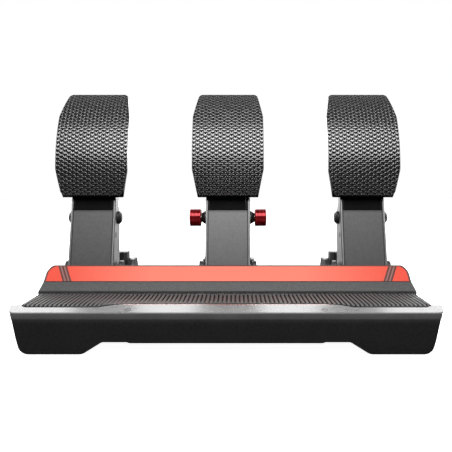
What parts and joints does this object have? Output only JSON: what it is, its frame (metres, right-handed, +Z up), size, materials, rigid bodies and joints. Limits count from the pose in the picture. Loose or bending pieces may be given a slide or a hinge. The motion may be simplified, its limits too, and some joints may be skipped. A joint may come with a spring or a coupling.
{
  "type": "sim racing pedal set",
  "caption": "Floor standing sim racing pedal set: ribbed heel rest, cross bar and sprung pedals with push rods, preload nuts and a load cell brake.",
  "frame": {"origin": "on the floor, under the middle of the set's outline", "axes": "+X to the driver's right, +Y away from the driver, +Z up"},
  "size_m": [0.44, 0.33, 0.2785],
  "materials": {
    "arm_grey": "sand blasted grey",
    "arm_silver": "brushed sides, bright chamfered edges",
    "bar_paint": "dark grey powder coat",
    "box_plastic": "matt moulding",
    "bronze": "sintered bronze",
    "elastomer": "soft elastomer",
    "foot_rubber": "matt rubber",
    "load_steel": "machined steel",
    "mat_rubber": "matt ribbed rubber",
    "moulded_black": "fine grained moulding",
    "nut_black": "black anodised, knurled",
    "pad_rubber": "moulded chevron tread",
    "red_anodised": "red anodised, turned",
    "satin_aluminium": "satin, clear anodised",
    "screw_black": "black oxide",
    "screw_steel": "plain steel",
    "spring_steel": "dark grey coated spring wire",
    "steel_black": "black powder coat",
    "steel_bright": "ground steel",
    "strip_red": "satin red to orange film"
  },
  "bodies": {
    "root": {"heel_body": "moulded_black", "heel_plate": "satin_aluminium", "heel_mat": "mat_rubber", "front_bar": "bar_paint", "red_strip": "strip_red", "top_screws": "screw_steel", "base_plate": "steel_black", "base_rails": "steel_black", "rubber_feet": "foot_rubber", "bracket_bolts": "screw_black", "control_box": "box_plastic", "control_box_lid": "box_plastic", "pedal_sensors": "box_plastic", "pivot_axles": "steel_bright", "clutch_bracket_base": "steel_black", "clutch_cheeks": "steel_black", "brake_bracket_base": "steel_black", "brake_cheeks": "steel_black", "throttle_bracket_base": "steel_black", "throttle_cheeks": "steel_black"},
    "clutch_arm": {"clutch_bushes": "bronze", "clutch_arm_plates": "arm_silver", "clutch_arm_front": "arm_grey", "clutch_pad_bracket": "steel_black", "clutch_pad": "pad_rubber", "clutch_arm_screws": "screw_black", "clutch_cross_pin": "steel_bright", "clutch_cap_nuts": "nut_black"},
    "clutch_rod": {"clutch_rod": "steel_bright", "clutch_spring": "spring_steel"},
    "clutch_nut": {"clutch_preload_nut": "nut_black"},
    "clutch_block": {"clutch_spring_block": "steel_black"},
    "brake_arm": {"brake_bushes": "bronze", "brake_arm_plates": "arm_silver", "brake_arm_front": "arm_grey", "brake_pad_bracket": "steel_black", "brake_pad": "pad_rubber", "brake_arm_screws": "screw_black", "brake_cross_pin": "steel_bright", "brake_cone_washers": "nut_black"},
    "brake_rod": {"brake_rod": "steel_bright", "brake_elastomers": "elastomer"},
    "brake_nut": {"brake_preload_nut": "nut_black"},
    "brake_block": {"brake_spring_block": "steel_black", "brake_load_cell": "load_steel"},
    "throttle_arm": {"throttle_bushes": "bronze", "throttle_arm_plates": "arm_silver", "throttle_arm_front": "arm_grey", "throttle_pad_bracket": "steel_black", "throttle_pad": "pad_rubber", "throttle_arm_screws": "screw_black", "throttle_cross_pin": "steel_bright", "throttle_cap_nuts": "nut_black"},
    "throttle_rod": {"throttle_rod": "steel_bright", "throttle_spring": "spring_steel"},
    "throttle_nut": {"throttle_preload_nut": "nut_black"},
    "throttle_block": {"throttle_spring_block": "steel_black"},
    "brake_knob_left": {"brake_knob_left": "red_anodised"},
    "brake_knob_right": {"brake_knob_right": "red_anodised"}
  },
  "joints": [
    {"name": "clutch_press", "type": "hinge", "parent": "root", "child": "clutch_arm", "pos_m": [-0.1585, -0.03, 0.047], "axis": [-1, 0, 0], "range_deg": [0, 18], "stiffness_Nm_per_rad": 15, "springref_deg": -11.46, "deforming": ["clutch_spring"]},
    {"name": "clutch_rod_swing", "type": "hinge", "parent": "clutch_arm", "child": "clutch_rod", "pos_m": [-0.1585, -0.014, 0.1283], "axis": [-1, 0, 0], "range_deg": [-11.95, 0]},
    {"name": "clutch_block_swing", "type": "hinge", "parent": "root", "child": "clutch_block", "pos_m": [-0.1585, 0.068, 0.062], "axis": [-1, 0, 0], "range_deg": [0, 6.05]},
    {"name": "clutch_preload_turn", "type": "hinge", "parent": "clutch_rod", "child": "clutch_nut", "pos_m": [-0.1585, 0.00311, 0.11447], "axis": [0, 0.7776, -0.6287], "continuous": true},
    {"name": "brake_press", "type": "hinge", "parent": "root", "child": "brake_arm", "pos_m": [0, -0.03, 0.047], "axis": [-1, 0, 0], "range_deg": [0, 9], "stiffness_Nm_per_rad": 120, "springref_deg": -1.72, "deforming": ["brake_elastomers"]},
    {"name": "brake_rod_swing", "type": "hinge", "parent": "brake_arm", "child": "brake_rod", "pos_m": [0, -0.014, 0.1283], "axis": [-1, 0, 0], "range_deg": [-5.82, 0]},
    {"name": "brake_block_swing", "type": "hinge", "parent": "root", "child": "brake_block", "pos_m": [0, 0.068, 0.062], "axis": [-1, 0, 0], "range_deg": [0, 3.18]},
    {"name": "brake_preload_turn", "type": "hinge", "parent": "brake_rod", "child": "brake_nut", "pos_m": [0, 0.00311, 0.11447], "axis": [0, 0.7776, -0.6287], "continuous": true},
    {"name": "throttle_press", "type": "hinge", "parent": "root", "child": "throttle_arm", "pos_m": [0.1585, -0.03, 0.047], "axis": [-1, 0, 0], "range_deg": [0, 18], "stiffness_Nm_per_rad": 8, "springref_deg": -14.32, "deforming": ["throttle_spring"]},
    {"name": "throttle_rod_swing", "type": "hinge", "parent": "throttle_arm", "child": "throttle_rod", "pos_m": [0.1585, -0.014, 0.1283], "axis": [-1, 0, 0], "range_deg": [-11.95, 0]},
    {"name": "throttle_block_swing", "type": "hinge", "parent": "root", "child": "throttle_block", "pos_m": [0.1585, 0.068, 0.062], "axis": [-1, 0, 0], "range_deg": [0, 6.05]},
    {"name": "throttle_preload_turn", "type": "hinge", "parent": "throttle_rod", "child": "throttle_nut", "pos_m": [0.1585, 0.00311, 0.11447], "axis": [0, 0.7776, -0.6287], "continuous": true},
    {"name": "brake_knob_left_turn", "type": "hinge", "parent": "brake_arm", "child": "brake_knob_left", "pos_m": [-0.03875, -0.014, 0.1283], "axis": [-1, 0, 0], "continuous": true},
    {"name": "brake_knob_right_turn", "type": "hinge", "parent": "brake_arm", "child": "brake_knob_right", "pos_m": [0.03875, -0.014, 0.1283], "axis": [1, 0, 0], "continuous": true}
  ],
  "couplings": [
    {"joint": "clutch_rod_swing", "follows": "clutch_press", "ratio": -0.664},
    {"joint": "clutch_block_swing", "follows": "clutch_press", "ratio": 0.336},
    {"joint": "brake_rod_swing", "follows": "brake_press", "ratio": -0.647},
    {"joint": "brake_block_swing", "follows": "brake_press", "ratio": 0.353},
    {"joint": "throttle_rod_swing", "follows": "throttle_press", "ratio": -0.664},
    {"joint": "throttle_block_swing", "follows": "throttle_press", "ratio": 0.336}
  ]
}
